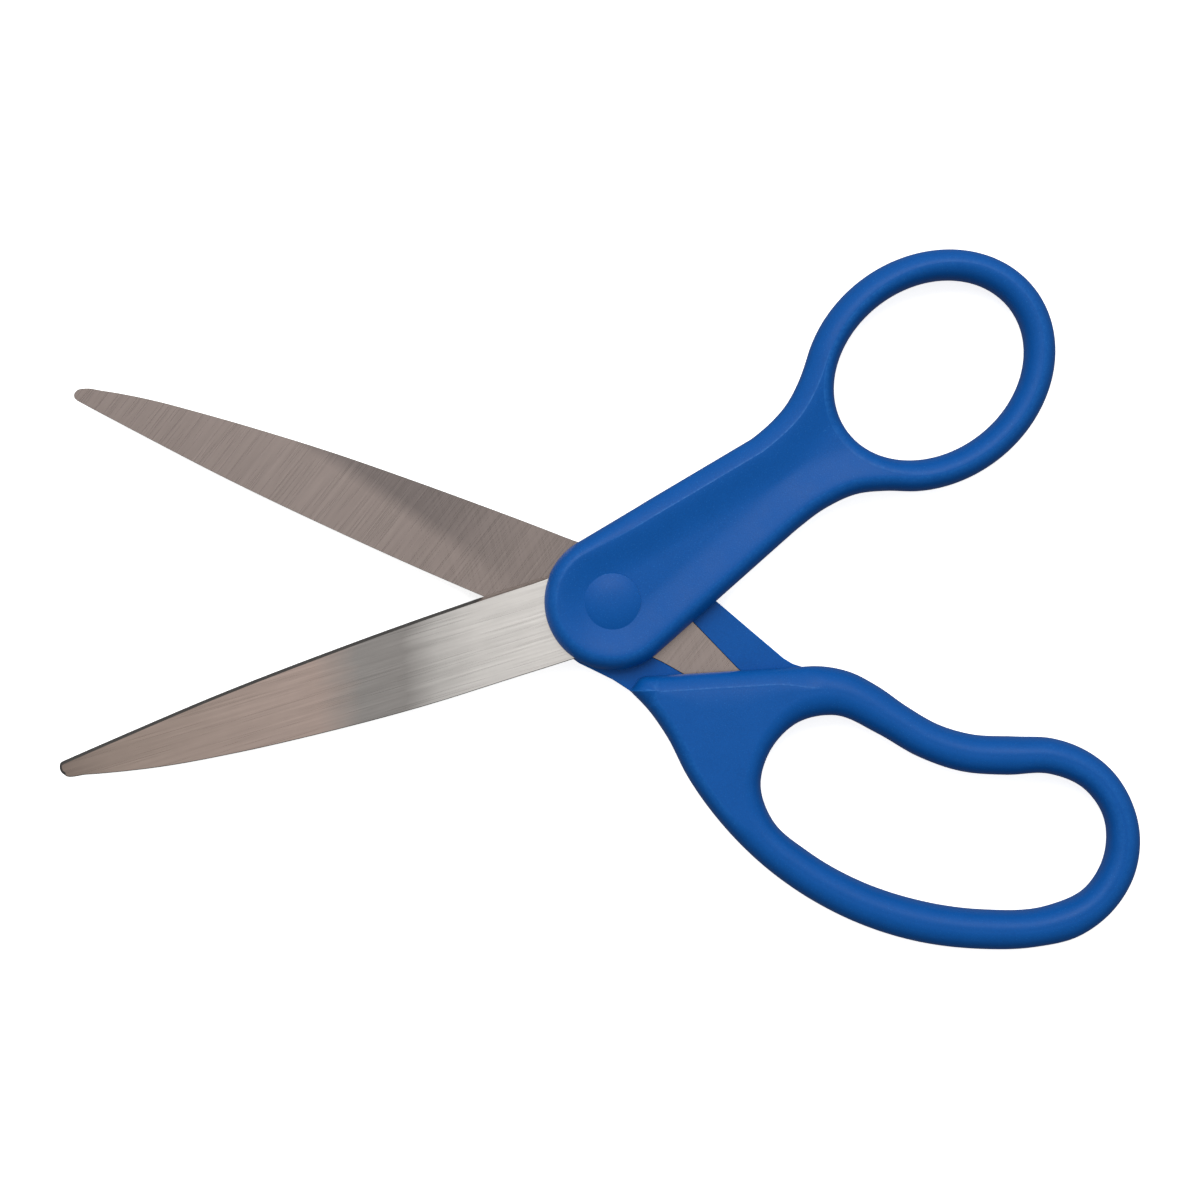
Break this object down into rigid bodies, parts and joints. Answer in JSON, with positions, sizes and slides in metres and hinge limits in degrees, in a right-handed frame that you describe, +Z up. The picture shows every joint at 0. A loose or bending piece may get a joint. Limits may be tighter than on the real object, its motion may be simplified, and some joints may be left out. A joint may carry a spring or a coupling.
{
  "type": "office scissors",
  "caption": "Right-handed office scissors: riveted steel blades that open and close, moulded plastic handles with a round thumb ring and a long finger loop, lying flat, partly open.",
  "frame": {"origin": "on the rivet's axis, at the rivet's flat end, in the plane that the scissors lie on", "axes": "+Z up, from the back to the front of the scissors; the blade tips point to -X and the finger loops to +X; +Y towards the thumb ring"},
  "size_m": [0.1889, 0.1224, 0.0096],
  "materials": {
    "blue_plastic": "moulded satin, fine texture",
    "blade_steel": "ground, fine grain along the front blade and across the back blade",
    "rivet_steel": "turned"
  },
  "bodies": {
    "finger_half": {"finger_handle": "blue_plastic", "back_blade": "blade_steel"},
    "thumb_half": {"thumb_handle": "blue_plastic", "front_blade": "blade_steel", "pivot_rivet": "rivet_steel", "rivet_washer": "rivet_steel"}
  },
  "joints": [
    {"name": "blade_pivot", "type": "hinge", "parent": "finger_half", "child": "thumb_half", "pos_m": [0, 0, 0.0048], "axis": [0, 0, 1], "range_deg": [-39, 55]}
  ]
}
